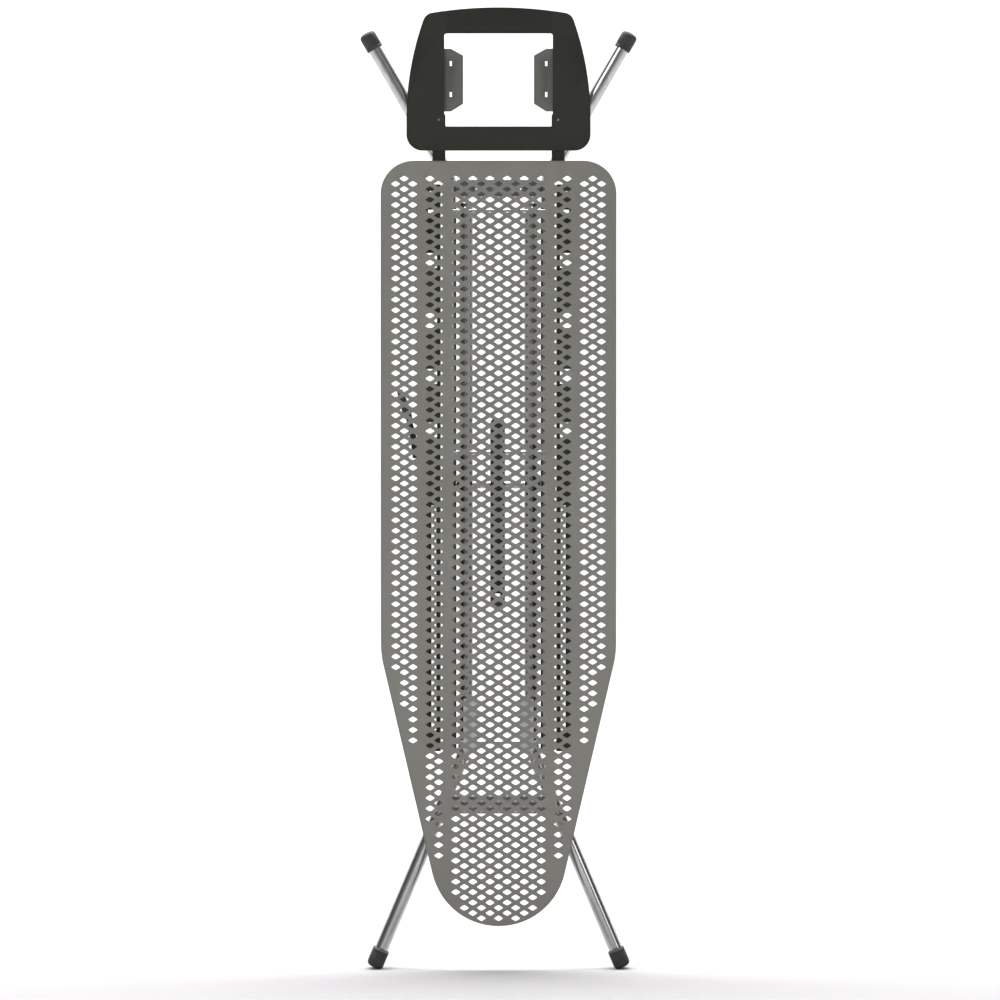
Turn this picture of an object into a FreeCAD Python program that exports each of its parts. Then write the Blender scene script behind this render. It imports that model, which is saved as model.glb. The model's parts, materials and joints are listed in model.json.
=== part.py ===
import FreeCAD, Part
import math
import os
import re
import Sketcher
from FreeCAD import Placement, Rotation, Vector

# Folding ironing board, standing folded on its front feet.
# X across the board, Z along the board (nose down), Y from the ironing face (-Y) to the legs (+Y).

DIMENSIONS = {
    # sheet-metal top
    "face": -24.75, "gauge": 1.2, "rear_edge": 1311, "half_width": 190.5, "corner": 53,
    "nose_centre": 181, "nose_rad": 110, "taper": 13.17, "blend": 150, "rim_depth": 18,
    # perforation
    "hole_width": 15, "hole_height": 9, "hole_column": 13.87, "hole_row": 17, "hole_top": 1282.2,
    # mechanism lines
    "rod_depth": 18, "leg_depth": 36, "hinge_line": 368.3, "axle_line": 785.7, "slide_line": 1230.4,
    "rod_rad": 3, "axle_rad": 6, "run_fit": 0.06, "overhang": 13,
    # rails
    "rail_in": 93.8, "rail_out": 118.8, "rail_low": 355, "rail_high": 1273, "rail_gauge": 1.5,
    "rail_back": 30, "slide_low": 864, "slide_high": 1242, "slide_half": 6.8,
    "notch_in": 99.6, "notch_long": 24,
    # legs
    "tube_rad": 11, "tube_wall": 1.2, "rear_x": 79, "rear_bend": 1284, "rear_splay": 30.1,
    "rear_run": 269.3, "rear_turn": 60, "front_x": 52.3, "front_bend": 357, "front_splay": 23,
    "front_run": 382.948, "front_turn": 150, "cap_rad": 13.5, "cap_long": 28, "cap_floor": 4,
    "foot_front": 3.75, "rear_brace_low": 1254, "rear_brace_high": 1281, "front_brace_low": 251,
    "front_brace_high": 280, "brace_gauge": 2, "ear_thick": 6, "ear_half": 7,
    # iron rest
    "rest_low": 1328, "rest_side": 1387, "rest_top": 1559.5, "rest_corner_z": 1549,
    "rest_half": 149, "rest_corner_x": 118, "rest_gauge": 2.5, "rest_face": 15.7,
    "channel_low": 1288, "arm_in": 86, "arm_out": 107, "screw_x": 96.5, "screw_low": 1298,
    "screw_high": 1378, "window_half": 87.8, "window_low": 1367, "window_high": 1517.5,
    # height lever
    "lever_line": 839.2, "lever_depth": 10, "lever_end": 138, "lever_tilt": 9,
}
NOTCHES = (876, 962.5, 1053, 1150)

doc = FreeCAD.newDocument("ironing_board")
dims = doc.addObject("Spreadsheet::Sheet", "Dims")
for row, (alias, value) in enumerate(DIMENSIONS.items(), start=1):
    dims.set("A%d" % row, alias)
    dims.set("B%d" % row, str(value))
    dims.setAlias("B%d" % row, alias)
doc.recompute()

WORD = re.compile(r"(?<![\w.])([a-z][a-z0-9_]*)(?![\w(])")
work = doc.addObject("Spreadsheet::Sheet", "Work")


def bound(text):
    """The expression with every dimension name pointing at the sheet."""
    return WORD.sub(r"Dims.\1", str(text))


def num(text):
    """The present value of an expression over the sheet's dimensions."""
    work.set("A1", "=1.0 * (%s)" % bound(text))
    work.recompute()
    return float(work.get("A1"))


def plane(body, role):
    """One of the body's own origin planes."""
    return next(item for item in body.Origin.OriginFeatures if item.Role == role + "_Plane")


def new_sketch(body, name, role, offset):
    """A sketch on an origin plane, moved along the axis that plane is normal to."""
    sketch = body.newObject("Sketcher::SketchObject", name)
    sketch.AttachmentSupport = (plane(body, role), [""])
    sketch.MapMode = "FlatFace"
    sign = "-" if role == "XZ" else ""
    sketch.setExpression("AttachmentOffset.Base.z", "%s(%s)" % (sign, bound(offset)))
    return sketch


def fix(sketch, kind, args, text):
    """One driving constraint, bound to the sheet."""
    index = sketch.addConstraint(Sketcher.Constraint(kind, *args, num(text)))
    sketch.renameConstraint(index, "d%d" % index)
    sketch.setExpression("Constraints.d%d" % index, bound(text))


def add_polygon(sketch, points):
    """A closed outline of straight lines through bound points."""
    places = [Vector(num(a), num(b), 0) for a, b in points]
    first = sketch.GeometryCount
    count = len(places)
    for i in range(count):
        sketch.addGeometry(Part.LineSegment(places[i], places[(i + 1) % count]), False)
    for i in range(count):
        sketch.addConstraint(Sketcher.Constraint("Coincident", first + i, 2, first + (i + 1) % count, 1))
    for i, (a, b) in enumerate(points):
        fix(sketch, "DistanceX", (first + i, 1), a)
        fix(sketch, "DistanceY", (first + i, 1), b)


def add_rect(sketch, x0, y0, x1, y1):
    add_polygon(sketch, [(x0, y0), (x1, y0), (x1, y1), (x0, y1)])


def add_circle(sketch, x, y, radius):
    """A bound circle."""
    circle = Part.Circle(Vector(num(x), num(y), 0), Vector(0, 0, 1), num(radius))
    index = sketch.addGeometry(circle, False)
    fix(sketch, "Radius", (index,), radius)
    fix(sketch, "DistanceX", (index, 3), x)
    fix(sketch, "DistanceY", (index, 3), y)


ADDERS = {"rect": add_rect, "circle": add_circle, "poly": add_polygon}


def draw(sketch, shapes):
    for kind, *values in shapes:
        ADDERS[kind](sketch, *values)


def new_body(label):
    body = doc.addObject("PartDesign::Body", label)
    body.Label = label
    return body


def pad(body, role, low, high, shapes):
    """Material between two bound positions along the axis normal to the plane."""
    sketch = new_sketch(body, "PadSketch", role, low)
    draw(sketch, shapes)
    return pad_sketch(body, sketch, role, low, high)


def pad_sketch(body, sketch, role, low, high):
    feature = body.newObject("PartDesign::Pad", "Pad")
    feature.Profile = sketch
    feature.Reversed = role == "XZ"
    feature.setExpression("Length", bound("(%s) - (%s)" % (high, low)))
    return feature


def pocket(body, role, low, high, shapes):
    """A cut between two bound positions; the volume before and after proves that it cuts."""
    doc.recompute()
    before = body.Shape.Volume
    start = low if role == "XZ" else high
    sketch = new_sketch(body, "CutSketch", role, start)
    draw(sketch, shapes)
    feature = body.newObject("PartDesign::Pocket", "Pocket")
    feature.Profile = sketch
    feature.setExpression("Length", bound("(%s) - (%s)" % (high, low)))
    doc.recompute()
    if not body.Shape.Volume < before - 0.5:
        raise RuntimeError("a pocket in %s removes nothing" % body.Label)
    return feature


def fillet(body, radius, wanted):
    """A rounded edge wherever the test accepts the edge."""
    doc.recompute()
    solid = body.Tip
    names = ["Edge%d" % (i + 1) for i, edge in enumerate(solid.Shape.Edges) if wanted(edge)]
    feature = body.newObject("PartDesign::Fillet", "Fillet")
    feature.Base = (solid, names)
    feature.Radius = radius
    return feature


def along(axis):
    """A test for straight edges that run along one axis."""
    def test(edge):
        if edge.Curve.TypeId != "Part::GeomLine":
            return False
        return abs(abs(edge.Curve.Direction.dot(axis)) - 1) < 1e-6
    return test


def place(item, x, y, z, axis=Vector(0, 0, 1), angle="0"):
    """The object's own placement, bound to the sheet."""
    item.Placement = Placement(Vector(0, 0, 0), Rotation(axis, 1))
    for name, text in zip("xyz", (x, y, z)):
        item.setExpression("Placement.Base." + name, bound(text))
    item.setExpression("Placement.Rotation.Angle", bound(angle))


def sided(side, low, high):
    """The span between two distances from the centre line, on the given side."""
    if side > 0:
        return low, high
    return "-(%s)" % high, "-(%s)" % low


def signed(side, text):
    return text if side > 0 else "-(%s)" % text


def span_rect(side, low, high, bottom, top):
    """A rectangle between two distances from the centre line, on the given side."""
    near, far = sided(side, low, high)
    return "rect", near, bottom, far, top


SIDES = (("left", -1), ("right", 1))
X_AXIS, Y_AXIS, Z_AXIS = Vector(1, 0, 0), Vector(0, 1, 0), Vector(0, 0, 1)


def outline(inset):
    """The board outline as closed geometry in the X-Z plane, drawn inward by inset."""
    width = DIMENSIONS["half_width"] - inset
    top = DIMENSIONS["rear_edge"] - inset
    corner = DIMENSIONS["corner"] - inset
    nose = DIMENSIONS["nose_rad"] - inset
    centre = DIMENSIONS["nose_centre"]
    slant = math.radians(DIMENSIONS["taper"])
    blend = DIMENSIONS["blend"] - inset
    nose_x, nose_z = nose * math.cos(slant), centre - nose * math.sin(slant)
    meet_z = nose_z + (width - nose_x) / math.tan(slant)
    reach = blend * math.tan(slant / 2)
    low_x, low_z = width - reach * math.sin(slant), meet_z - reach * math.cos(slant)
    high_z = meet_z + reach
    mid_x = width - blend * (1 - math.cos(slant / 2))
    mid_z = high_z - blend * math.sin(slant / 2)
    bow = corner * (1 - math.sqrt(0.5))

    def at(x, z):
        return Vector(x, z, 0)

    return [
        Part.Arc(at(-nose_x, nose_z), at(0, centre - nose), at(nose_x, nose_z)),
        Part.LineSegment(at(nose_x, nose_z), at(low_x, low_z)),
        Part.Arc(at(low_x, low_z), at(mid_x, mid_z), at(width, high_z)),
        Part.LineSegment(at(width, high_z), at(width, top - corner)),
        Part.Arc(at(width, top - corner), at(width - bow, top - bow), at(width - corner, top)),
        Part.LineSegment(at(width - corner, top), at(corner - width, top)),
        Part.Arc(at(corner - width, top), at(bow - width, top - bow), at(-width, top - corner)),
        Part.LineSegment(at(-width, top - corner), at(-width, high_z)),
        Part.Arc(at(-width, high_z), at(-mid_x, mid_z), at(-low_x, low_z)),
        Part.LineSegment(at(-low_x, low_z), at(-nose_x, nose_z)),
    ]


def half_breadth(z):
    """Half the board's breadth at a height, for deciding where a column of holes stops."""
    slant = math.radians(DIMENSIONS["taper"])
    centre, nose = DIMENSIONS["nose_centre"], DIMENSIONS["nose_rad"]
    if z < centre - nose * math.sin(slant):
        return math.sqrt(max(nose ** 2 - (z - centre) ** 2, 0))
    return min(DIMENSIONS["half_width"], nose / math.cos(slant) + (z - centre) * math.tan(slant))


def hole_centres():
    """Staggered columns of holes; the bands over the front legs and the rails are left solid."""
    pitch, step = dims.hole_column, dims.hole_row
    centres = []
    for column in (0, 1, 2, 3, 4, 5, 7, 8, 10, 11, 12):
        phase = 0 if column in (1, 3, 5, 8, 11) else 0.5
        for k in range(72):
            z = dims.hole_top - (k + phase) * step
            if z < dims.nose_centre - dims.nose_rad + 12 or half_breadth(z) < column * pitch + 16:
                break
            centres += [(side * column * pitch, z) for side in ((-1, 1) if column else (1,))]
    return centres


def diamond(x, z):
    """One hole."""
    half_x, half_z = dims.hole_width / 2, dims.hole_height / 2
    corners = [(x - half_x, z), (x, z - half_z), (x + half_x, z), (x, z + half_z), (x - half_x, z)]
    return Part.makePolygon([Vector(a, b, 0) for a, b in corners])


def perforated_top():
    """The ironing face: one flat sheet with its holes, standing in the X-Z plane."""
    rim = Part.Wire([curve.toShape() for curve in outline(dims.gauge + 0.05)])
    face = Part.Face([rim] + [diamond(x, z) for x, z in hole_centres()])
    face.validate()
    item = doc.addObject("Part::Feature", "board_sheet")
    item.Label = "board_sheet"
    item.Shape = face.extrude(Vector(0, 0, -dims.gauge))
    place(item, "0", "face", "0", X_AXIS, "90")
    return item


def board_rim():
    """The turned-back edge around the top."""
    body = new_body("board_rim")
    sketch = new_sketch(body, "RimSketch", "XZ", "face")
    for inset in (0, dims.gauge):
        first = sketch.GeometryCount
        curves = outline(inset)
        sketch.addGeometry(curves, False)
        for i in range(len(curves)):
            after = first + (i + 1) % len(curves)
            sketch.addConstraint(Sketcher.Constraint("Coincident", first + i, 2, after, 1))
    pad_sketch(body, sketch, "XZ", "face", "face + rim_depth")


def rail(name, side):
    """An angle rail: slotted web for the sliding rod, notched flange against the top."""
    body = new_body("rail_" + name)
    inner, outer = sided(side, "rail_in", "rail_out")
    web_low, web_high = sided(side, "rail_in", "rail_in + rail_gauge")
    flange_back = "face + gauge + 0.1"
    pad(body, "XY", "rail_low", "rail_high",
        [("rect", inner, flange_back, outer, flange_back + " + rail_gauge")])
    pad(body, "XY", "rail_low", "rail_high",
        [("rect", web_low, flange_back, web_high, "face + rail_back")])
    slide = "face + rod_depth"
    pocket(body, "YZ", web_low + " - 1", web_high + " + 1",
           [("rect", slide + " - slide_half", "slide_low", slide + " + slide_half", "slide_high"),
            ("circle", slide, "hinge_line", "rod_rad + 0.01"),
            ("circle", "face + lever_depth", "lever_line", "rod_rad + run_fit")])
    cuts = [span_rect(side, "101", "108.5", "389", "754"), span_rect(side, "105", "114", "1226", "1232"),
            ("circle", signed(side, "110"), "1261", "1.5")]
    for height in NOTCHES:
        cuts.append(span_rect(side, "notch_in", "rail_out + 1", "%s - notch_long / 2" % height,
                              "%s + notch_long / 2" % height))
    pocket(body, "XZ", "face + gauge", "face + gauge + 2 * rail_gauge", cuts)


def rear_channel():
    """The folded channel behind the top's rear border; the iron rest's arms are fixed to it."""
    body = new_body("rear_channel")
    front, back = "face + gauge + 0.1", "face + rim_depth"
    pad(body, "YZ", "-150", "150",
        [("poly", [(front, "channel_low"), (back, "channel_low"), (back, "1308"), (front, "1308"),
                   (front, "1306.5"), (back + " - 1.5", "1306.5"),
                   (back + " - 1.5", "channel_low + 1.5"), (front, "channel_low + 1.5")])])
    pocket(body, "XZ", back + " - 3", back + " + 1",
           [("circle", signed(side, "screw_x"), "screw_low", "2.05") for name, side in SIDES])


def rest_arm(name, side):
    """A flat arm from the channel to the iron rest, with two screw holes at each end."""
    body = new_body("rest_arm_" + name)
    back = "face + rest_face + rest_gauge"
    pad(body, "XZ", back, back + " + 3", [span_rect(side, "arm_in", "arm_out", "channel_low + 1", "1388")])
    pocket(body, "XZ", back + " - 1", back + " + 4",
           [("circle", signed(side, "screw_x"), height, "2.1") for height in ("screw_low", "screw_high")])
    fillet(body, 4, along(Y_AXIS))


def rest_screw(name, side, height, level):
    """A pan-head screw through the arm and the piece it holds."""
    body = new_body("rest_screw_%s_%s" % (level, name))
    sketch = new_sketch(body, "Profile", "XZ", "0")
    draw(sketch, [("poly", [("0", "-4.5"), ("2", "-4.5"), ("2", "0"), ("4.2", "0"),
                            ("4.2", "1.2"), ("3", "2.4"), ("0", "2.4")])])
    turn = body.newObject("PartDesign::Revolution", "Turn")
    turn.Profile = sketch
    turn.ReferenceAxis = (sketch, ["V_Axis"])
    turn.Angle = 360
    place(body, signed(side, "screw_x"), "face + rest_face + rest_gauge + 3.05", height, X_AXIS, "-90")


def iron_rest():
    """The flat frame that holds a hot iron: bowed top, sides drawn in, one large window."""
    body = new_body("iron_rest")
    sketch = new_sketch(body, "RestSketch", "XZ", "face + rest_face")
    half, side_z, low = dims.rest_half, dims.rest_side, dims.rest_low
    corner_x, corner_z, top = dims.rest_corner_x, dims.rest_corner_z, dims.rest_top
    curves = [
        Part.LineSegment(Vector(-half, low, 0), Vector(half, low, 0)),
        Part.LineSegment(Vector(half, low, 0), Vector(half, side_z, 0)),
        Part.Arc(Vector(half, side_z, 0), Vector(140.5, 1470, 0), Vector(corner_x, corner_z, 0)),
        Part.Arc(Vector(corner_x, corner_z, 0), Vector(0, top, 0), Vector(-corner_x, corner_z, 0)),
        Part.Arc(Vector(-corner_x, corner_z, 0), Vector(-140.5, 1470, 0), Vector(-half, side_z, 0)),
        Part.LineSegment(Vector(-half, side_z, 0), Vector(-half, low, 0)),
    ]
    sketch.addGeometry(curves, False)
    for i in range(len(curves)):
        sketch.addConstraint(Sketcher.Constraint("Coincident", i, 2, (i + 1) % len(curves), 1))
    pad_sketch(body, sketch, "XZ", "face + rest_face", "face + rest_face + rest_gauge")

    upright = along(Y_AXIS)
    fillet(body, 26, lambda edge: upright(edge) and edge.Vertexes[0].Point.z < low + 1)
    fillet(body, 18, lambda edge: upright(edge) and edge.Vertexes[0].Point.z > corner_z - 1)
    pocket(body, "XZ", "face + rest_face - 1", "face + rest_face + rest_gauge + 1",
           [("rect", "-window_half", "window_low", "window_half", "window_high")])
    fillet(body, 4, lambda edge: upright(edge) and abs(edge.Vertexes[0].Point.x) < 88)
    pocket(body, "XZ", "face + rest_face - 1", "face + rest_face + rest_gauge + 1",
           [("circle", signed(side, "screw_x"), "screw_high", "2.1") for label, side in SIDES])


def rest_tab(name, side):
    """A pad plate behind one side of the window, turned slightly away from the frame."""
    body = new_body("rest_tab_" + name)
    points = [("5", "1391.5"), ("5", "1493"), ("-18", "1493"), ("-38", "1482"),
              ("-38", "1404"), ("-18", "1391.5")]
    points = [(signed(side, x), z) for x, z in points]
    pad(body, "XZ", "0", "2", [("poly", points)])
    pocket(body, "XZ", "-1", "3",
           [span_rect(side, "-20", "-16", str(height - 4), str(height + 4)) for height in (1419, 1469)])
    place(body, signed(side, "95"), "face + rest_face + rest_gauge + 0.75", "0", Z_AXIS,
          signed(side, "-8"))


def rod(label, low, high, y, z, radius):
    """A plain round rod across the board."""
    item = doc.addObject("Part::Cylinder", label)
    item.Label = label
    item.setExpression("Radius", bound(radius))
    item.setExpression("Height", bound("(%s) - (%s)" % (high, low)))
    place(item, low, y, z, Y_AXIS, "90")
    return item


def ring(label, low, high, y, z, inner, outer):
    """A washer, bush or collar around a rod."""
    parts = []
    for radius in (outer, inner):
        item = doc.addObject("Part::Cylinder", label + "_round")
        item.setExpression("Radius", bound(radius))
        item.setExpression("Height", bound("(%s) - (%s)" % (high, low)))
        place(item, low, y, z, Y_AXIS, "90")
        parts.append(item)
    cut = doc.addObject("Part::Cut", label)
    cut.Label = label
    cut.Base, cut.Tool = parts
    return cut


def hinge_bracket(name, side):
    """A foot plate and an ear that carry the hinge rod near the middle."""
    body = new_body("hinge_bracket_" + name)
    low, high = sided(side, "35", "57")
    ear_low, ear_high = sided(side, "44.5", "47.5")
    back = "face + gauge + 0.1"
    pad(body, "XZ", back, back + " + 2", [("rect", low, "355", high, "440")])
    pad(body, "YZ", ear_low, ear_high,
        [("poly", [(back, "355"), ("face + 24.2", "361"), ("face + 24.2", "375.5"), (back, "410")])])
    pocket(body, "YZ", ear_low + " - 1", ear_high + " + 1",
           [("circle", "face + rod_depth", "hinge_line", "rod_rad + 0.01")])


def centre_strap():
    """The pressed strap along the middle of the top, with a square hole near its lower end."""
    body = new_body("centre_strap")
    back = "face + gauge + 0.1"
    pad(body, "XZ", back, back + " + 2", [("rect", "-13.25", "588", "10.25", "895")])
    fillet(body, 9, along(Y_AXIS))
    pocket(body, "XZ", back + " - 1", back + " + 3", [("rect", "-5.5", "603", "2.5", "611")])


def leg_tube(label, side, leg_x, end_z, bend_z, splay, run, turn, direction):
    """A bent steel tube: straight run, one bend, splayed end; bored for the pivot axle."""
    body = new_body(label)
    spine = new_sketch(body, "Spine", "XZ", "face + leg_depth")
    angle = math.radians(num(splay))
    x, z0, zb, radius = num(leg_x), num(end_z), num(bend_z), num(turn)
    reach = radius * math.tan(angle / 2)
    length = num(run) - dims.cap_floor
    unit = Vector(side * math.sin(angle), direction * math.cos(angle), 0)
    start, corner = Vector(side * x, z0, 0), Vector(side * x, zb, 0)
    tangent = corner - Vector(0, direction * reach, 0)
    finish = corner + unit * length
    half = angle / 2
    middle = tangent + Vector(side * radius * (1 - math.cos(half)), direction * radius * math.sin(half), 0)
    after = corner + unit * reach
    counter = side * direction < 0
    arc = Part.Arc(tangent, middle, after) if counter else Part.Arc(after, middle, tangent)
    joins = (1, 2) if counter else (2, 1)
    spine.addGeometry([Part.LineSegment(start, tangent), arc, Part.LineSegment(after, finish)], False)
    spine.addConstraint(Sketcher.Constraint("Tangent", 0, 2, 1, joins[0]))
    spine.addConstraint(Sketcher.Constraint("Tangent", 1, joins[1], 2, 1))
    spine.addConstraint(Sketcher.Constraint("Vertical", 0))
    fix(spine, "Radius", (1,), turn)
    fix(spine, "DistanceX", (0, 1), signed(side, leg_x))
    fix(spine, "DistanceY", (0, 1), end_z)
    end_x = "%s + (%s - cap_floor) * sin(%s * 1deg)" % (leg_x, run, splay)
    sign, back = ("+", "-") if direction > 0 else ("-", "+")
    fix(spine, "DistanceX", (2, 2), signed(side, end_x))
    fix(spine, "DistanceY", (0, 2), "%s %s %s * tan(%s / 2 * 1deg)" % (bend_z, back, turn, splay))
    fix(spine, "DistanceY", (2, 2), "%s %s (%s - cap_floor) * cos(%s * 1deg)" % (bend_z, sign, run, splay))
    profile = new_sketch(body, "Profile", "XY", end_z)
    draw(profile, [("circle", signed(side, leg_x), "face + leg_depth", "tube_rad"),
                   ("circle", signed(side, leg_x), "face + leg_depth", "tube_rad - tube_wall")])
    pipe = body.newObject("PartDesign::AdditivePipe", "Tube")
    pipe.Profile = profile
    pipe.Spine = (spine, ["Edge1", "Edge2", "Edge3"])
    low, high = sided(side, leg_x + " - tube_rad - 1", leg_x + " + tube_rad + 1")
    pocket(body, "YZ", low, high, [("circle", "face + leg_depth", "axle_line", "axle_rad + run_fit")])


def foot_cap(label, side, leg_x, bend_z, splay, run, direction):
    """A rounded rubber cap over the end of a leg."""
    body = new_body(label)
    sketch = new_sketch(body, "Profile", "XZ", "0")
    draw(sketch, [("poly", [("0", "0"), ("cap_rad - 2", "0"), ("cap_rad", "2"), ("cap_rad", "cap_long - 1"),
                            ("cap_rad - 1", "cap_long"), ("tube_rad + 0.02", "cap_long"),
                            ("tube_rad + 0.02", "cap_floor"), ("0", "cap_floor")])])
    turn = body.newObject("PartDesign::Revolution", "Turn")
    turn.Profile = sketch
    turn.ReferenceAxis = (sketch, ["V_Axis"])
    turn.Angle = 360
    set_on_leg(body, side, leg_x, bend_z, splay, run, direction)


def set_on_leg(body, side, leg_x, bend_z, splay, run, direction):
    """Turns a foot square to the splayed end of its leg."""
    x = signed(side, "%s + %s * sin(%s * 1deg)" % (leg_x, run, splay))
    sign = "+" if direction > 0 else "-"
    z = "%s %s %s * cos(%s * 1deg)" % (bend_z, sign, run, splay)
    lean = splay if direction < 0 else "180 - %s" % splay
    place(body, x, "face + leg_depth", z, Y_AXIS, "(%s) * %d" % (lean, -side))


def standing_foot(label, side):
    """A foot drawn out towards the ironing face, so that the folded board stands on two long edges."""
    body = new_body(label)
    pad(body, "XZ", "foot_front - leg_depth", "cap_rad", [("rect", "-cap_rad", "0", "cap_rad", "cap_long")])
    fillet(body, 4, along(Z_AXIS))
    fillet(body, 2.5, lambda edge: max(point.Point.z for point in edge.Vertexes) < 0.01)
    pocket(body, "XY", "cap_floor", "cap_long + 1", [("circle", "0", "0", "tube_rad + 0.02")])
    set_on_leg(body, side, "front_x", "front_bend", "front_splay", "front_run", -1)


def leg_plug(label, side, leg_x, end_z, direction):
    """A plastic plug that closes the short end of a leg tube."""
    body = new_body(label)
    sketch = new_sketch(body, "Profile", "XZ", "0")
    draw(sketch, [("poly", [("0", "0.05"), ("tube_rad - tube_wall - 0.02", "0.05"),
                            ("tube_rad - tube_wall - 0.02", "9"), ("0", "9")])])
    turn = body.newObject("PartDesign::Revolution", "Turn")
    turn.Profile = sketch
    turn.ReferenceAxis = (sketch, ["V_Axis"])
    turn.Angle = 360
    place(body, signed(side, leg_x), "face + leg_depth", end_z, X_AXIS, "0" if direction > 0 else "180")


def ear(label, side, leg_x, line):
    """A rounded lug on the front of a leg tube; the rod turns in it."""
    body = new_body(label)
    low, high = sided(side, leg_x + " - ear_thick / 2", leg_x + " + ear_thick / 2")
    pad(body, "YZ", low, high,
        [("rect", "face + rod_depth - ear_half", line + " - ear_half", "face + leg_depth - tube_rad - 0.02",
          line + " + ear_half")])
    doc.recompute()
    front = num("face + rod_depth - ear_half")
    fillet(body, 5, lambda edge: along(X_AXIS)(edge) and abs(edge.Vertexes[0].Point.y - front) < 0.1)
    pocket(body, "YZ", low + " - 1", high + " + 1",
           [("circle", "face + rod_depth", line, "rod_rad + run_fit")])


def brace(label, half, low, high, holes):
    """A flat cross brace let into the legs."""
    body = new_body(label)
    middle = "face + leg_depth"
    points = [("-(%s)" % half[0], low), (half[0], low), (half[1], high), ("-(%s)" % half[1], high)]
    pad(body, "XZ", middle + " - brace_gauge / 2", middle + " + brace_gauge / 2", [("poly", points)])
    pocket(body, "XZ", middle + " - brace_gauge", middle + " + brace_gauge", holes)


def slider_shoe(name, side):
    """The plastic shoe on the end of the sliding rod."""
    body = new_body("slider_shoe_" + name)
    low, high = sided(side, "rail_in + rail_gauge + 0.5", "rail_in + rail_gauge + 10")
    pad(body, "YZ", low, high,
        [("rect", "face + rod_depth - 9", "slide_line - 13", "face + rod_depth + 9", "slide_line + 13")])
    fillet(body, 4, along(X_AXIS))
    pocket(body, "YZ", low + " - 1", high + " + 1",
           [("circle", "face + rod_depth", "slide_line", "rod_rad + 0.01")])


def lever():
    """The bent hand lever on the left end of its shaft, with a moulded grip over the tip."""
    arm = new_body("lever_arm")
    pad(arm, "XZ", "-3", "3",
        [("poly", [("5", "-9"), ("-5", "-9"), ("-7", "8"), ("-13", "44"), ("-22.5", "76"),
                   ("-15.5", "78.5"), ("-4.5", "46"), ("5", "10")])])
    pocket(arm, "YZ", "-8", "8", [("circle", "0", "0", "rod_rad + 0.01")])
    place(arm, "-(lever_end) + 4", "face + lever_depth", "lever_line", X_AXIS, "-lever_tilt")
    grip = new_body("lever_grip")
    pad(grip, "XZ", "-5", "5",
        [("poly", [("-19", "55"), ("-25.5", "78"), ("-31", "100"), ("-22.5", "103.5"),
                   ("-12.5", "80"), ("-5.3", "57")])])
    fillet(grip, 2, along(Y_AXIS))
    pocket(grip, "XZ", "-3.02", "3.02",
           [("poly", [("-14.85", "50"), ("-22.58", "76.05"), ("-15.45", "78.6"), ("-5.78", "50")])])
    place(grip, "-(lever_end) + 4", "face + lever_depth", "lever_line", X_AXIS, "-lever_tilt")


def lever_spring():
    """The return spring around the lever shaft."""
    body = new_body("lever_spring")
    profile = new_sketch(body, "Wire", "XZ", "0")
    draw(profile, [("circle", "4.6", "0", "0.7")])
    coil = body.newObject("PartDesign::AdditiveHelix", "Coil")
    coil.Profile = profile
    coil.ReferenceAxis = (profile, ["V_Axis"])
    coil.Mode = 0
    coil.Pitch = 2.2
    coil.Height = 13.2
    place(body, "8 - rail_in", "face + lever_depth", "lever_line", Y_AXIS, "90")


def build():
    board_rim()
    rear_channel()
    iron_rest()
    centre_strap()
    rod("hinge_rod", "-(rail_in + 4)", "rail_in + 4", "face + rod_depth", "hinge_line", "rod_rad")
    rod("slider_rod", "-(rail_in + 10)", "rail_in + 10", "face + rod_depth", "slide_line", "rod_rad")
    rod("lever_shaft", "-(lever_end)", "rail_in + 4", "face + lever_depth", "lever_line", "rod_rad")
    rod("pivot_axle", "-(rail_in - 1.5)", "rail_in - 1.5", "face + leg_depth", "axle_line", "axle_rad")
    brace("rear_brace", ("rear_x - tube_rad", "rear_x - tube_rad"), "rear_brace_low", "rear_brace_high",
          [span_rect(side, "29", "37", "1265.5", "1270.5") for label, side in SIDES])
    inner = "front_x + (front_bend - %s) * tan(front_splay * 1deg) - tube_rad / cos(front_splay * 1deg) - 0.02"
    brace("front_brace", (inner % "front_brace_low", inner % "front_brace_high"), "front_brace_low",
          "front_brace_high", [("circle", "48", "264", "2.5")])
    lever()
    lever_spring()
    for name, side in SIDES:
        rail(name, side)
        rest_arm(name, side)
        rest_screw(name, side, "screw_low", "lower")
        rest_screw(name, side, "screw_high", "upper")
        rest_tab(name, side)
        hinge_bracket(name, side)
        leg_tube("rear_leg_" + name, side, "rear_x", "hinge_line - overhang", "rear_bend",
                 "rear_splay", "rear_run", "rear_turn", 1)
        leg_tube("front_leg_" + name, side, "front_x", "slide_line + overhang", "front_bend",
                 "front_splay", "front_run", "front_turn", -1)
        foot_cap("rear_foot_" + name, side, "rear_x", "rear_bend", "rear_splay", "rear_run", 1)
        standing_foot("front_foot_" + name, side)
        leg_plug("rear_plug_" + name, side, "rear_x", "hinge_line - overhang", 1)
        leg_plug("front_plug_" + name, side, "front_x", "slide_line + overhang", -1)
        ear("rear_ear_" + name, side, "rear_x", "hinge_line")
        ear("front_ear_" + name, side, "front_x", "slide_line")
        slider_shoe(name, side)
        low, high = sided(side, "front_x + tube_rad + 0.4", "rear_x - tube_rad - 0.05")
        ring("pivot_bush_" + name, low, high, "face + leg_depth", "axle_line", "axle_rad", "10")
        low, high = sided(side, "rear_x + tube_rad + 0.05", "rail_in - 1.5")
        ring("axle_cap_" + name, low, high, "face + leg_depth", "axle_line", "axle_rad", "9")
        low, high = sided(side, "rail_in - 5.5", "rail_in - 0.5")
        ring("shaft_collar_" + name, low, high, "face + lever_depth", "lever_line", "rod_rad", "6")
    perforated_top()


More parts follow.
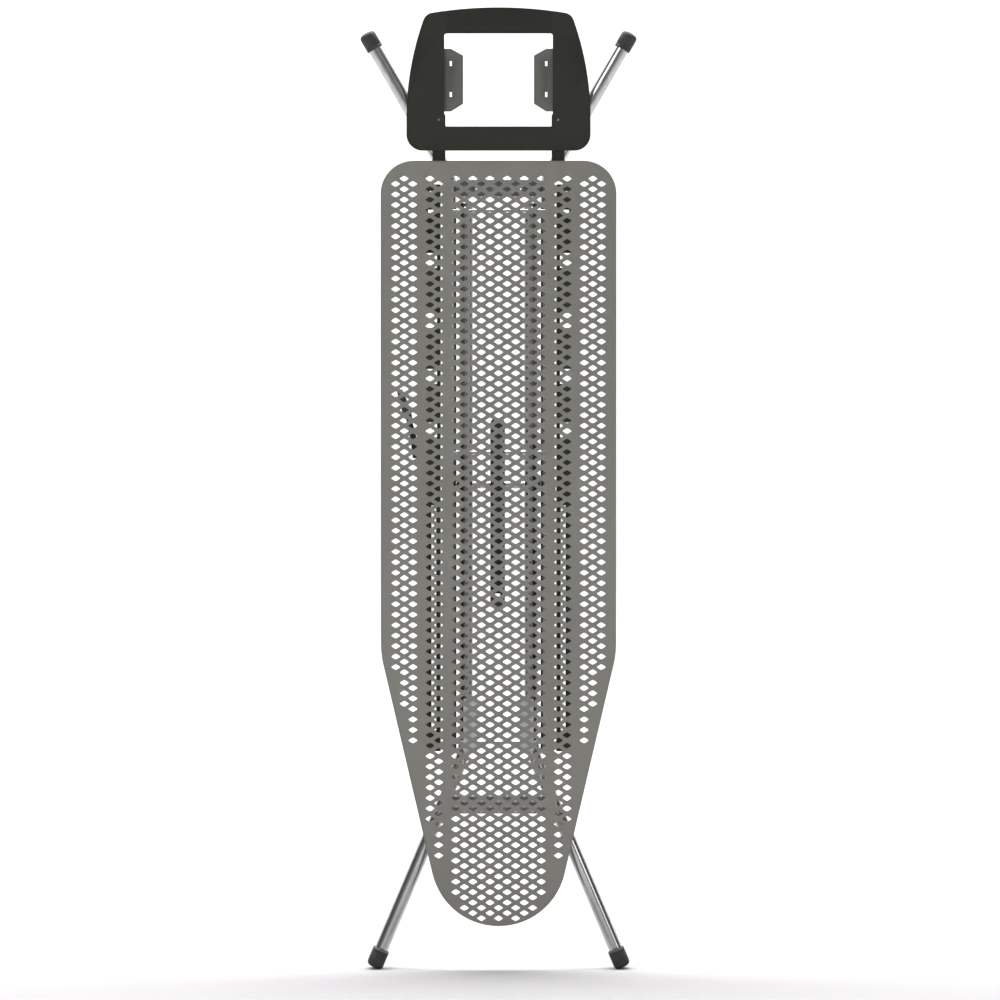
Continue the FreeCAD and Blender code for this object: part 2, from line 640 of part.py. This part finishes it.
def pieces():
    """Every named sub-part: bodies, top-level Part objects and the perforated top."""
    inner = set()
    for item in doc.Objects:
        if item.TypeId == "Part::Cut":
            inner.update((item.Base.Name, item.Tool.Name))
    kinds = ("PartDesign::Body", "Part::Cut", "Part::Cylinder", "Part::Feature")
    return [item for item in doc.Objects if item.TypeId in kinds and item.Name not in inner]


def write():
    doc.recompute()
    for item in doc.Objects:
        if "Invalid" in item.State or "Error" in item.State:
            raise RuntimeError("%s (%s) did not compute" % (item.Label, item.Name))
    os.makedirs("parts", exist_ok=True)
    for item in pieces():
        if item.Shape.isNull() or not item.Shape.isValid():
            raise RuntimeError("the shape of %s is not sound" % item.Label)
        item.Shape.exportStep("parts/%s.step" % item.Label)
        print(item.Label, round(item.Shape.Volume), item.Shape.BoundBox)


build()
write()
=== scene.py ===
import json
import math

import bmesh
import bpy
from mathutils import Matrix, Vector


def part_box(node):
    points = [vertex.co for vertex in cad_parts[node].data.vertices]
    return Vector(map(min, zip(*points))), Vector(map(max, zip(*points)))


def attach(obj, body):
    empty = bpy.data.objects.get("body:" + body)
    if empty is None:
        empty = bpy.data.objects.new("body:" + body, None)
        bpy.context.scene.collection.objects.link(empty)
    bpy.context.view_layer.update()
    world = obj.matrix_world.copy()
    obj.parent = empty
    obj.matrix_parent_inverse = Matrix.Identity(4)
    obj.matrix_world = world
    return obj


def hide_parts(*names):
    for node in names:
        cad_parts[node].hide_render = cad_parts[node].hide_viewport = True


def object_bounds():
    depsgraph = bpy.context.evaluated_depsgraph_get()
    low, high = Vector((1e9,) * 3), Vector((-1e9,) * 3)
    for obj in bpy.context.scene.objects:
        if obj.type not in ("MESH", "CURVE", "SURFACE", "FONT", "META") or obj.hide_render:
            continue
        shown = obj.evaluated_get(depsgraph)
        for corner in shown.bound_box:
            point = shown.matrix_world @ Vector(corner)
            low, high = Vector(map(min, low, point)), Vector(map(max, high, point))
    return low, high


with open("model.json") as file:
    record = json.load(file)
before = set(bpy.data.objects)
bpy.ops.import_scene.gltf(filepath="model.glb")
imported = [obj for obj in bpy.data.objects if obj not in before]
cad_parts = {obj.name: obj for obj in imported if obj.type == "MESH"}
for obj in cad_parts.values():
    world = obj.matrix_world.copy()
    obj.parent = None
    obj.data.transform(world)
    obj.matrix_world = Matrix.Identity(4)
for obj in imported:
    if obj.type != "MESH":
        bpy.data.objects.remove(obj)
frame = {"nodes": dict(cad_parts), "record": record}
cad_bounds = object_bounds()
nodes = frame["nodes"]
SIDES = (("left", -1), ("right", 1))

# the top's outline: nose radius, rear corner radius, taper of the sides and the bend where they straighten
NOSE, CORNER, TAPER, BLEND = 0.110, 0.053, math.radians(13.17), 0.150
# the holes: half width, half height, share of each side taken by the round corners, and the grid
HOLE_X, HOLE_Z, HOLE_ROUND = 0.0079, 0.005, 0.2
COLUMN_PITCH, ROW_PITCH, FIRST_ROW = 0.01387, 0.017, 0.0288
COLUMNS, IN_STEP = (0, 1, 2, 3, 4, 5, 7, 8, 10, 11, 12), (1, 3, 5, 8, 11)
SIDE_BORDER, NOSE_BORDER = 0.016, 0.012
# the rubber feet: radius of the cap, of the tube's bore, and from the tread to the middle of the CAD foot
CAP, BORE, FOOT_MIDDLE = 0.0135, 0.01105, 0.0144
FRONT_REACH, FRONT_CORNER = 0.01875, 0.011
# how far the visible top stays inside the rim, and the rounding of a pressed edge
SHEET_INSET, SHEET_EDGE = 0.0003, 0.0003
FLOOR_DROP, GROUND_DROP = 0.0005, 0.004


# ---------------------------------------------------------------- materials

class Maker:
    """Builds one node material step by step."""

    def __init__(self, name):
        self.material = bpy.data.materials.new(name)
        self.material.use_nodes = True
        self.tree = self.material.node_tree
        self.shader = self.tree.nodes["Principled BSDF"]
        self.place = self.tree.nodes.new("ShaderNodeTexCoord").outputs["Object"]

    def link(self, source, target):
        self.tree.links.new(source, target)

    def setting(self, **values):
        for name, value in values.items():
            self.shader.inputs[name.replace("_", " ")].default_value = value

    def stretched(self, scale):
        """The object coordinates, scaled on each axis."""
        node = self.tree.nodes.new("ShaderNodeMapping")
        node.inputs["Scale"].default_value = scale
        self.link(self.place, node.inputs["Vector"])
        return node.outputs["Vector"]

    def distance(self):
        """How far a point is from the middle of the floor."""
        node = self.tree.nodes.new("ShaderNodeVectorMath")
        node.operation = "LENGTH"
        self.link(self.place, node.inputs[0])
        return node.outputs["Value"]

    def noise(self, scale, detail=4.0, stretch=(1, 1, 1)):
        node = self.tree.nodes.new("ShaderNodeTexNoise")
        node.inputs["Scale"].default_value = scale
        node.inputs["Detail"].default_value = detail
        self.link(self.stretched(stretch), node.inputs["Vector"])
        return node.outputs["Fac"]

    def grains(self, scale):
        node = self.tree.nodes.new("ShaderNodeTexVoronoi")
        node.inputs["Scale"].default_value = scale
        self.link(self.place, node.inputs["Vector"])
        return node.outputs["Distance"]

    def ramp(self, source, low, high, start=0.35, end=0.65):
        """A colour between two, following a value."""
        node = self.tree.nodes.new("ShaderNodeValToRGB")
        first, last = node.color_ramp.elements
        first.position, last.position = start, end
        first.color, last.color = (*low, 1), (*high, 1)
        self.link(source, node.inputs["Fac"])
        return node.outputs["Color"]

    def spread(self, source, low, high, start=0.3, end=0.7):
        """A number between two, following a value."""
        node = self.tree.nodes.new("ShaderNodeMapRange")
        for name, value in (("From Min", start), ("From Max", end), ("To Min", low), ("To Max", high)):
            node.inputs[name].default_value = value
        self.link(source, node.inputs["Value"])
        return node.outputs["Result"]

    def mix(self, factor, first, second):
        """Two colours blended by a factor."""
        node = self.tree.nodes.new("ShaderNodeMix")
        node.data_type = "RGBA"
        self.link(factor, node.inputs[0])
        for target, value in ((node.inputs[6], first), (node.inputs[7], second)):
            if isinstance(value, tuple):
                target.default_value = (*value, 1)
            else:
                self.link(value, target)
        return node.outputs[2]

    def edges(self, start=0.52, end=0.6):
        """White along sharp outer edges, where handling wears the finish."""
        node = self.tree.nodes.new("ShaderNodeNewGeometry")
        return self.spread(node.outputs["Pointiness"], 0, 1, start, end)

    def bump(self, source, strength, distance, before=None):
        node = self.tree.nodes.new("ShaderNodeBump")
        node.inputs["Strength"].default_value = strength
        node.inputs["Distance"].default_value = distance
        self.link(source, node.inputs["Height"])
        if before is not None:
            self.link(before, node.inputs["Normal"])
        return node.outputs["Normal"]

    def finish(self, colour, rough, normal=None):
        self.link(colour, self.shader.inputs["Base Color"])
        self.link(rough, self.shader.inputs["Roughness"])
        if normal is not None:
            self.link(normal, self.shader.inputs["Normal"])
        return self.material


def top_paint():
    """Grey metallic powder coat: fine flake, faint orange peel, slight cloudiness."""
    maker = Maker("top_paint")
    maker.setting(Metallic=0.55, Coat_Weight=0.12, Coat_Roughness=0.35)
    clouds = maker.ramp(maker.noise(3.5, 5), (0.18, 0.176, 0.157), (0.215, 0.211, 0.19))
    flake = maker.spread(maker.grains(1500), 0, 0.5, 0.1, 0.5)
    colour = maker.mix(flake, clouds, (0.27, 0.265, 0.24))
    rough = maker.spread(maker.noise(60), 0.38, 0.52)
    peel = maker.bump(maker.noise(900, 2), 0.25, 0.0002)
    return maker.finish(colour, rough, peel)


def dark_paint(name, low, high, worn, rough_low, rough_high):
    """Powder coat over steel, a little worn along its edges."""
    maker = Maker(name)
    maker.setting(Metallic=0.0, Specular_IOR_Level=0.12)
    base = maker.ramp(maker.noise(14, 6), low, high)
    colour = maker.mix(maker.edges(), base, worn)
    rough = maker.spread(maker.noise(120), rough_low, rough_high)
    peel = maker.bump(maker.noise(1100, 2), 0.35, 0.00025)
    return maker.finish(colour, rough, peel)


def drawn_steel(name, low, high, rough_low, rough_high, stretch, metal=1.0):
    """Bare or plated steel with fine drawing marks along its length."""
    maker = Maker(name)
    maker.setting(Metallic=metal)
    marks = maker.noise(90, 6, stretch)
    smears = maker.noise(9, 5)
    colour = maker.ramp(marks, low, high, 0.3, 0.7)
    rough = maker.spread(smears, rough_low, rough_high, 0.3, 0.75)
    lines = maker.bump(marks, 0.05, 0.00005)
    return maker.finish(colour, rough, lines)


def moulded(name, low, high, rough_low, rough_high, grain, depth):
    """Moulded rubber or plastic with a fine spark-eroded grain."""
    maker = Maker(name)
    maker.setting(Metallic=0.0)
    base = maker.ramp(maker.noise(25, 5), low, high)
    colour = maker.mix(maker.edges(0.53, 0.63), base, tuple(2.2 * c for c in high))
    rough = maker.spread(maker.noise(200), rough_low, rough_high)
    texture = maker.bump(maker.grains(grain), 0.3, depth)
    return maker.finish(colour, rough, texture)


MATERIALS = {
    "top_paint": top_paint(),
    "black_paint": dark_paint("black_paint", (0.002, 0.0026, 0.0014), (0.0045, 0.0054, 0.0034),
                              (0.03, 0.03, 0.026), 0.38, 0.52),
    "tab_paint": dark_paint("tab_paint", (0.043, 0.043, 0.038), (0.066, 0.066, 0.06),
                            (0.12, 0.12, 0.11), 0.4, 0.55),
    "tube_steel": drawn_steel("tube_steel", (0.4, 0.4, 0.4), (0.5, 0.5, 0.5), 0.13, 0.2, (1, 1, 0.03)),
    "bright_steel": drawn_steel("bright_steel", (0.62, 0.62, 0.63), (0.75, 0.75, 0.76), 0.14, 0.26,
                                (0.03, 1, 1)),
    "zinc_steel": drawn_steel("zinc_steel", (0.36, 0.36, 0.37), (0.52, 0.52, 0.52), 0.3, 0.48, (1, 1, 1)),
    "foot_rubber": moulded("foot_rubber", (0.011, 0.011, 0.011), (0.02, 0.02, 0.02), 0.5, 0.68, 1200, 0.0003),
    "black_plastic": moulded("black_plastic", (0.01, 0.01, 0.01), (0.018, 0.018, 0.018), 0.36, 0.5, 1600,
                             0.0002),
}


def paint(item, slot):
    item.data.materials.clear()
    item.data.materials.append(MATERIALS[slot])


for entry in frame["record"]["subparts"]:
    paint(nodes[entry["node"]], entry["material_slot"])


# ---------------------------------------------------------------- pieces

def finish_piece(item, body, slot, *stands_for):
    """Material, slot, body and the CAD nodes that the piece is shown for."""
    paint(item, slot)
    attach(item, body)
    if stands_for:
        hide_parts(*stands_for)
    return item


def add_object(name, data):
    item = bpy.data.objects.new(name, data)
    bpy.context.scene.collection.objects.link(item)
    return item


def smooth(item, angle=35):
    """Smooth shading, except over edges sharper than the angle."""
    mesh = item.data
    for face in mesh.polygons:
        face.use_smooth = True
    mesh.set_sharp_from_angle(angle=math.radians(angle))


def bevel(item, width, segments=2, angle=35):
    """A machined or pressed edge on every sharp corner."""
    cut = item.modifiers.new("edge", "BEVEL")
    cut.width = width
    cut.segments = segments
    cut.limit_method = "ANGLE"
    cut.angle_limit = math.radians(angle)
    cut.harden_normals = True


def outline(inset):
    """The board's outline as points in X and Z, drawn inward by inset."""
    low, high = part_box("board_rim")
    width, top, nose = high.x - inset, high.z - inset, NOSE - inset
    centre, corner, blend = low.z + NOSE, CORNER - inset, BLEND - inset
    nose_x, nose_z = nose * math.cos(TAPER), centre - nose * math.sin(TAPER)
    meet = nose_z + (width - nose_x) / math.tan(TAPER)
    start = meet + blend * math.tan(TAPER / 2)
    half = [(nose * math.sin(t), centre - nose * math.cos(t)) for t in steps(0, math.pi / 2 - TAPER, 40)]
    half += [(width - blend * (1 - math.cos(t)), start - blend * math.sin(t)) for t in steps(TAPER, 0, 8)]
    half += [(width - corner * (1 - math.cos(t)), top - corner * (1 - math.sin(t)))
             for t in steps(0, math.pi / 2, 20)]
    return half + [(-x, z) for x, z in reversed(half[1:])]


def steps(first, last, count):
    return [first + (last - first) * i / count for i in range(count + 1)]


def half_breadth(z, low, width):
    """Half the board's breadth at a height."""
    centre = low + NOSE
    if z < centre - NOSE * math.sin(TAPER):
        return math.sqrt(max(NOSE ** 2 - (z - centre) ** 2, 0))
    return min(width, NOSE / math.cos(TAPER) + (z - centre) * math.tan(TAPER))


def hole_centres():
    """Staggered columns of holes, with solid bands over the legs and the rails."""
    low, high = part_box("board_rim")
    for column in COLUMNS:
        phase = 0 if column in IN_STEP else 0.5
        x = column * COLUMN_PITCH
        for row in range(int((high.z - low.z) / ROW_PITCH)):
            z = high.z - FIRST_ROW - (row + phase) * ROW_PITCH
            if z < low.z + NOSE_BORDER or half_breadth(z, low.z, high.x) < x + SIDE_BORDER:
                break
            for side in ((-1, 1) if column else (1,)):
                yield side * x, z


def hole(x, z):
    """One diamond with rounded corners."""
    tips = [(HOLE_X, 0), (0, HOLE_Z), (-HOLE_X, 0), (0, -HOLE_Z)]
    points = []
    for i, (a, b) in enumerate(tips):
        before, after = tips[i - 1], tips[(i + 1) % 4]
        ends = [(a + (p[0] - a) * HOLE_ROUND, b + (p[1] - b) * HOLE_ROUND) for p in (before, after)]
        middle = ((ends[0][0] + ends[1][0]) / 4 + a / 2, (ends[0][1] + ends[1][1]) / 4 + b / 2)
        points += [ends[0], middle, ends[1]]
    return [(x + a, z + b) for a, b in points]


def flat_curve(name, loops, y, thickness, edge):
    """A flat plate with holes from closed outlines, with a rounded edge along every one."""
    curve = bpy.data.curves.new(name, "CURVE")
    curve.dimensions = "2D"
    curve.fill_mode = "BOTH"
    curve.extrude = thickness / 2 - edge
    curve.bevel_depth = edge
    curve.bevel_resolution = 1
    curve.offset = -edge
    for points in loops:
        spline = curve.splines.new("POLY")
        spline.points.add(len(points) - 1)
        for point, (a, b) in zip(spline.points, points):
            point.co = (a, b, 0, 1)
        spline.use_cyclic_u = True
    source = add_object(name + "_source", curve)
    bpy.context.view_layer.update()
    mesh = bpy.data.meshes.new_from_object(source)
    bpy.data.objects.remove(source)
    mesh.name = name
    mesh.transform(Matrix.Translation((0, y, 0)) @ Matrix.Rotation(math.radians(90), 4, "X"))
    return add_object(name, mesh)


def top_sheet():
    """The perforated ironing face, every hole with a pressed edge."""
    low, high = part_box("board_sheet")
    loops = [outline(SHEET_INSET)] + [hole(x, z) for x, z in hole_centres()]
    item = flat_curve("top_sheet", loops, (low.y + high.y) / 2, high.y - low.y, SHEET_EDGE)
    smooth(item, 40)
    return finish_piece(item, "board", "top_paint", "board_sheet")


def ring(half_x, half_y, corner, middle, height):
    """A closed ring of points: a rectangle with round corners, or a circle when the corner fills it."""
    points = []
    for quarter in range(4):
        a = half_x - corner if quarter in (0, 3) else corner - half_x
        b = half_y - corner if quarter < 2 else corner - half_y
        for t in steps(quarter * math.pi / 2, (quarter + 1) * math.pi / 2, 16):
            points.append((a + corner * math.cos(t), middle + b + corner * math.sin(t), height))
    return points


def skin(name, rings):
    """A mesh drawn through rings of equal length, closed at its first and last ring."""
    mesh = bpy.data.meshes.new(name)
    shape = bmesh.new()
    rows = [[shape.verts.new(point) for point in points] for points in rings]
    for first, second in zip(rows, rows[1:]):
        for i in range(len(first)):
            j = (i + 1) % len(first)
            shape.faces.new((first[i], first[j], second[j], second[i]))
    shape.faces.new(rows[0])
    shape.faces.new(rows[-1])
    bmesh.ops.remove_doubles(shape, verts=shape.verts, dist=1e-6)
    bmesh.ops.recalc_face_normals(shape, faces=shape.faces)
    shape.to_mesh(mesh)
    shape.free()
    return add_object(name, mesh)


# a foot's outline from the tread up: inset from the cap's radius, and height above the tread
FOOT_LEVELS = ((0.0095, -0.0021), (0.0055, -0.0014), (0.003, -0.0003), (0.0013, 0.0012), (0.0003, 0.0032),
               (0, 0.0055), (0, 0.0225), (0.0004, 0.0229), (0.0004, 0.0234), (0, 0.0238), (0, 0.0268),
               (0.0003, 0.0276), (0.0011, 0.028))


def foot(name, body, node, base, along, reach, corner):
    """A rubber foot on a splayed leg: domed tread, a groove under its rolled mouth and the tube's bore."""
    half_y, middle = CAP + reach / 2, -reach / 2
    rings = [ring(CAP - inset, half_y - inset, max(corner - inset, 0.001), middle, height)
             for inset, height in FOOT_LEVELS]
    for radius, height in ((BORE + 0.00015, 0.0279), (BORE, 0.0268), (BORE, 0.0082)):
        rings.append(ring(radius, radius, radius, 0, height))
    item = skin(name, rings)
    side = Vector((0, 1, 0)).cross(along)
    turn = Matrix((side, (0, 1, 0), along)).transposed().to_4x4()
    item.data.transform(Matrix.Translation(base) @ turn)
    smooth(item, 50)
    return finish_piece(item, body, "foot_rubber", node)


def build_feet():
    """Round caps on the rear legs; the front feet reach forward, so that the folded board stands."""
    for name, side in SIDES:
        for leg, end, lean, reach, corner in (("rear", 1, 30.1, 0, CAP),
                                              ("front", -1, 23, FRONT_REACH, FRONT_CORNER)):
            angle = math.radians(lean)
            node = "%s_foot_%s" % (leg, name)
            along = Vector((-side * math.sin(angle), 0, -end * math.cos(angle)))
            low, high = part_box(node)
            middle = Vector(((low.x + high.x) / 2, high.y - CAP, (low.z + high.z) / 2))
            base = middle - along * FOOT_MIDDLE
            foot("cap_%s_%s" % (leg, name), leg + "_legs", node, base, along, reach, corner)


# the rounding of sharp edges on the CAD pieces, where it isn't the common one
EDGES = {"iron_rest": 0.0007, "lever_grip": 0.0015, "lever_arm": 0.0008}
COMMON_EDGE = 0.0003


def soften_nodes():
    """A real edge on every CAD piece that stays in view, except the spring and the leg tubes."""
    round_already = ("board_sheet", "lever_spring")
    for name, item in nodes.items():
        if item.hide_render or name in round_already or name.startswith(("rear_leg", "front_leg")):
            continue
        bevel(item, EDGES.get(name, COMMON_EDGE))


top_sheet()
build_feet()
soften_nodes()


# ---------------------------------------------------------------- studio

# painted shade on the near floor and painted light on the far floor and the wall
SHADED_NEAR_FLOOR, LIT_FAR_PAPER = (0.48, 0.47, 0.48), (0.88, 0.88, 0.88)


def see_through_back(maker):
    """The surface is seen from its front only, so the wall hides nothing from behind."""
    geometry = maker.tree.nodes.new("ShaderNodeNewGeometry")
    clear = maker.tree.nodes.new("ShaderNodeBsdfTransparent")
    choose = maker.tree.nodes.new("ShaderNodeMixShader")
    output = maker.tree.nodes["Material Output"]
    maker.link(geometry.outputs["Backfacing"], choose.inputs[0])
    maker.link(maker.shader.outputs[0], choose.inputs[1])
    maker.link(clear.outputs[0], choose.inputs[2])
    maker.link(choose.outputs[0], output.inputs["Surface"])


def strip(name, profile, half_width):
    """A surface drawn along X from a profile of (y, z) points, facing the front and up."""
    mesh = bpy.data.meshes.new(name)
    shape = bmesh.new()
    rows = [[shape.verts.new((x, y, z)) for x in (-half_width, half_width)] for y, z in profile]
    for first, second in zip(rows, rows[1:]):
        face = shape.faces.new((first[0], first[1], second[1], second[0]))
        face.smooth = True
    shape.to_mesh(mesh)
    shape.free()
    return add_object(name, mesh)


def backdrop():
    """A floor that turns up into a wall, on a wider floor, with painted shade on the paper near the board and
    painted light on it farther off and up the wall.
    """
    start, radius, reach = 0.9, 0.6, 14
    bend = [(start + radius * math.sin(t), radius - radius * math.cos(t) - FLOOR_DROP)
            for t in steps(0, math.pi / 2, 16)]
    sweep = strip("backdrop", [(-9, -FLOOR_DROP)] + bend + [(start + radius, 5)], reach / 2)
    ground = strip("ground", [(-reach, -GROUND_DROP), (reach, -GROUND_DROP)], reach)
    for item in (sweep, ground):
        maker = Maker(item.name + "_paper")
        # painted shade and light: the paper is darker within 0.9 m of the middle and lighter past 1.7 m,
        # holding back the lamps' light on the near floor and brightening the wall
        away = maker.spread(maker.distance(), 0, 1, 0.9, 1.7)
        shaded_and_lit_paper = maker.ramp(away, SHADED_NEAR_FLOOR, LIT_FAR_PAPER, 0.0, 1.0)
        material = maker.finish(shaded_and_lit_paper, maker.spread(maker.noise(3), 0.8, 0.9))
        if item is sweep:
            see_through_back(maker)
        item.data.materials.append(material)


def area_light(name, place, target, size, power):
    data = bpy.data.lights.new(name, "AREA")
    data.shape = "RECTANGLE"
    data.size, data.size_y = size
    data.energy = power
    item = add_object(name, data)
    item.visible_camera = False
    item.location = place
    item.rotation_euler = (Vector(target) - Vector(place)).to_track_quat("-Z", "Y").to_euler()


def room():
    """A pale room with darker ends and a dim strip in front, which round metal mirrors as bands."""
    world = bpy.data.worlds.new("room")
    bpy.context.scene.world = world
    world.use_nodes = True
    tree = world.node_tree
    place = tree.nodes.new("ShaderNodeTexCoord")
    split = tree.nodes.new("ShaderNodeSeparateXYZ")
    shift = tree.nodes.new("ShaderNodeMapRange")
    bands = tree.nodes.new("ShaderNodeValToRGB")
    shift.inputs["From Min"].default_value = -1
    levels = ((0, 0.17), (0.14, 0.19), (0.27, 0.5), (0.4, 0.6), (0.47, 0.22), (0.54, 0.22), (0.63, 0.64),
              (0.74, 0.45), (0.86, 0.18), (1, 0.17))
    stops = bands.color_ramp.elements
    while len(stops) < len(levels):
        stops.new(0.5)
    for stop, (position, level) in zip(stops, levels):
        stop.position = position
        stop.color = (level, level, level, 1)
    tree.links.new(place.outputs["Generated"], split.inputs[0])
    tree.links.new(split.outputs["X"], shift.inputs["Value"])
    tree.links.new(shift.outputs["Result"], bands.inputs["Fac"])
    seen = tree.nodes.new("ShaderNodeLightPath")
    pick = tree.nodes.new("ShaderNodeMix")
    pick.data_type = "RGBA"
    pick.inputs[7].default_value = (1.1, 1.1, 1.1, 1)
    tree.links.new(seen.outputs["Is Camera Ray"], pick.inputs[0])
    ceiling = tree.nodes.new("ShaderNodeMapRange")
    for name, value in (("From Min", 0.45), ("From Max", 0.75), ("To Min", 0), ("To Max", 1)):
        ceiling.inputs[name].default_value = value
    lit = tree.nodes.new("ShaderNodeMix")
    lit.data_type = "RGBA"
    lit.inputs[7].default_value = (0.85, 0.85, 0.85, 1)
    tree.links.new(split.outputs["Z"], ceiling.inputs["Value"])
    tree.links.new(ceiling.outputs["Result"], lit.inputs[0])
    tree.links.new(bands.outputs["Color"], lit.inputs[6])
    tree.links.new(lit.outputs[2], pick.inputs[6])
    tree.links.new(pick.outputs[2], tree.nodes["Background"].inputs["Color"])
    tree.nodes["Background"].inputs["Strength"].default_value = 0.8


def studio():
    backdrop()
    area_light("key", (-2.6, -3.2, 3.4), (0, 0, 0.8), (1.6, 2.4), 74)
    area_light("fill", (3.0, -3.0, 1.8), (0, 0, 0.8), (1.4, 2.2), 24)
    area_light("wall", (0, 0.9, 4.0), (0, 1.6, 0.6), (5, 1.0), 245)
    room()


def camera():
    """Level with the middle of the board, square to its face, through a long lens."""
    low, high = cad_bounds
    data = bpy.data.cameras.new("camera")
    data.sensor_width = 36
    distance = 9.0
    data.lens = 36 * distance / 1.619
    item = add_object("camera", data)
    target = Vector((0.0024, low[1], 0.7625))
    lift = math.radians(1.5)
    item.location = target + Vector((0, -distance * math.cos(lift), distance * math.sin(lift)))
    item.rotation_euler = (target - item.location).to_track_quat("-Z", "Y").to_euler()
    bpy.context.scene.camera = item


studio()
camera()
bpy.context.scene.view_settings.view_transform = "Standard"
